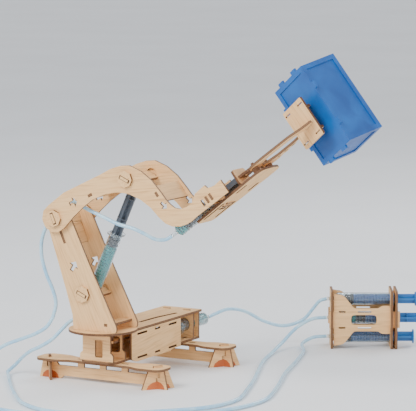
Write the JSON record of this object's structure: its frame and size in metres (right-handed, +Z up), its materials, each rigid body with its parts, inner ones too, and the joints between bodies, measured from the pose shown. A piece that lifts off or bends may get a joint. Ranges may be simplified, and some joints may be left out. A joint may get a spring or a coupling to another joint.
{
  "type": "hydraulic arm kit",
  "caption": "Plywood toy crane on two outriggers: a turntable tower, a gooseneck boom lifted by a syringe, a pinching gripper with a held container, and a hand controller on three hoses",
  "frame": {"origin": "centre of the footprint of the solid parts, on the surface that the feet and the controller stand on", "axes": "+Z up, +X the way the boom reaches, +Y from the front outrigger back along the chassis"},
  "size_m": [0.517, 0.6517, 0.4192],
  "materials": {
    "plywood": "laser-cut, burnt edges",
    "clear_plastic": "clear, water filled",
    "slate_plastic": "satin",
    "blue_plastic": "satin",
    "container_plastic": "satin, moulded",
    "hose": "soft clear tubing, tinted"
  },
  "bodies": {
    "base": {"outrigger_top_front": "plywood", "outrigger_beam_front": "plywood", "foot_plate_front_left": "plywood", "foot_plate_front_right": "plywood", "outrigger_top_rear": "plywood", "outrigger_beam_rear": "plywood", "foot_plate_rear_left": "plywood", "foot_plate_rear_right": "plywood", "chassis_floor": "plywood", "chassis_top": "plywood", "chassis_side_right": "plywood", "chassis_side_left": "plywood", "chassis_rib": "plywood", "chassis_rear": "plywood", "pedestal_front": "plywood", "pedestal_rear": "plywood", "swing_barrel": "clear_plastic", "control_side_front": "plywood", "control_side_back": "plywood", "control_end_nozzles": "plywood", "control_retainer_inner": "plywood", "control_retainer_outer": "plywood", "control_barrel_swing": "clear_plastic", "control_barrel_lift": "clear_plastic", "control_barrel_gripper": "clear_plastic", "hose_swing": "hose", "hose_lift_line": "hose", "hose_gripper_line": "hose"},
    "swing_slider": {"swing_plunger": "slate_plastic", "swing_yoke": "plywood"},
    "tower": {"turntable_disc": "plywood", "tower_plate_left": "plywood", "tower_plate_right": "plywood", "tower_cross_panel": "plywood", "tower_cross_low": "plywood", "boom_pivot_tongue": "plywood", "hose_lift_tower": "hose", "hose_gripper_tower": "hose"},
    "lift_cylinder": {"lift_barrel": "clear_plastic", "lift_cradle": "plywood"},
    "lift_rod": {"lift_plunger": "slate_plastic", "lift_head_tongue": "plywood"},
    "boom": {"boom_plate_left": "plywood", "boom_plate_right": "plywood", "boom_spreader_low": "plywood", "boom_spreader_bend": "plywood", "gripper_barrel": "clear_plastic", "gripper_clamp_front": "plywood", "gripper_clamp_rear": "plywood", "gripper_base": "plywood", "hose_gripper_boom": "hose"},
    "gripper_slider": {"gripper_plunger": "slate_plastic", "gripper_crosshead": "plywood"},
    "finger_left": {"finger_left": "plywood"},
    "finger_right": {"finger_right": "plywood"},
    "load": {"load_tab": "plywood", "load_container": "container_plastic"},
    "control_swing": {"control_plunger_swing": "blue_plastic"},
    "control_lift": {"control_plunger_lift": "blue_plastic"},
    "control_gripper": {"control_plunger_gripper": "blue_plastic"}
  },
  "joints": [
    {"name": "swing", "type": "hinge", "parent": "base", "child": "tower", "pos_m": [-0.1314, -0.19692, 0.066], "axis": [0, 0, 1], "range_deg": [-30, 30]},
    {"name": "swing_slide", "type": "slide", "parent": "base", "child": "swing_slider", "axis": [0, 1, 0], "range_m": [-0.0062, 0.0062]},
    {"name": "boom_lift", "type": "hinge", "parent": "tower", "child": "boom", "pos_m": [-0.1814, -0.19692, 0.208], "axis": [0, -1, 0], "range_deg": [-25, 3]},
    {"name": "lift_tilt", "type": "hinge", "parent": "tower", "child": "lift_cylinder", "pos_m": [-0.1444, -0.19692, 0.115], "axis": [0, -1, 0], "range_deg": [-14.6, 1.8]},
    {"name": "lift_extend", "type": "slide", "parent": "lift_cylinder", "child": "lift_rod", "axis": [0.4073, 0, 0.9133], "range_m": [-0.0345, 0.0042]},
    {"name": "gripper_slide", "type": "slide", "parent": "boom", "child": "gripper_slider", "axis": [0.788, 0, 0.6157], "range_m": [0, 0.0009]},
    {"name": "finger_left_swing", "type": "hinge", "parent": "boom", "child": "finger_left", "pos_m": [0.09104, -0.21392, 0.28644], "axis": [0.6157, 0, -0.788], "range_deg": [0, 4.75]},
    {"name": "finger_right_swing", "type": "hinge", "parent": "boom", "child": "finger_right", "pos_m": [0.09104, -0.17992, 0.28644], "axis": [-0.6157, 0, 0.788], "range_deg": [0, 4.75]},
    {"name": "load_release", "type": "slide", "parent": "boom", "child": "load", "axis": [0.7405, -0.342, 0.5785], "range_m": [0, 0.06]},
    {"name": "control_swing_slide", "type": "slide", "parent": "base", "child": "control_swing", "axis": [0.8721, 0.4894, 0], "range_m": [-0.0062, 0.0062]},
    {"name": "control_lift_slide", "type": "slide", "parent": "base", "child": "control_lift", "axis": [0.8721, 0.4894, 0], "range_m": [-0.0042, 0.0345]},
    {"name": "control_gripper_slide", "type": "slide", "parent": "base", "child": "control_gripper", "axis": [0.8721, 0.4894, 0], "range_m": [-0.00095, 0.00005]}
  ],
  "couplings": [
    {"joint": "swing_slide", "follows": "swing", "m_per_rad": 0.01158},
    {"joint": "control_swing_slide", "follows": "swing", "m_per_rad": 0.01158},
    {"joint": "lift_tilt", "follows": "boom_lift", "ratio": 0.58},
    {"joint": "lift_extend", "follows": "boom_lift", "m_per_rad": 0.078495},
    {"joint": "control_lift_slide", "follows": "boom_lift", "m_per_rad": -0.078495},
    {"joint": "finger_left_swing", "follows": "gripper_slide", "rad_per_m": 90.909},
    {"joint": "finger_right_swing", "follows": "gripper_slide", "rad_per_m": 90.909},
    {"joint": "control_gripper_slide", "follows": "gripper_slide", "ratio": -1}
  ]
}
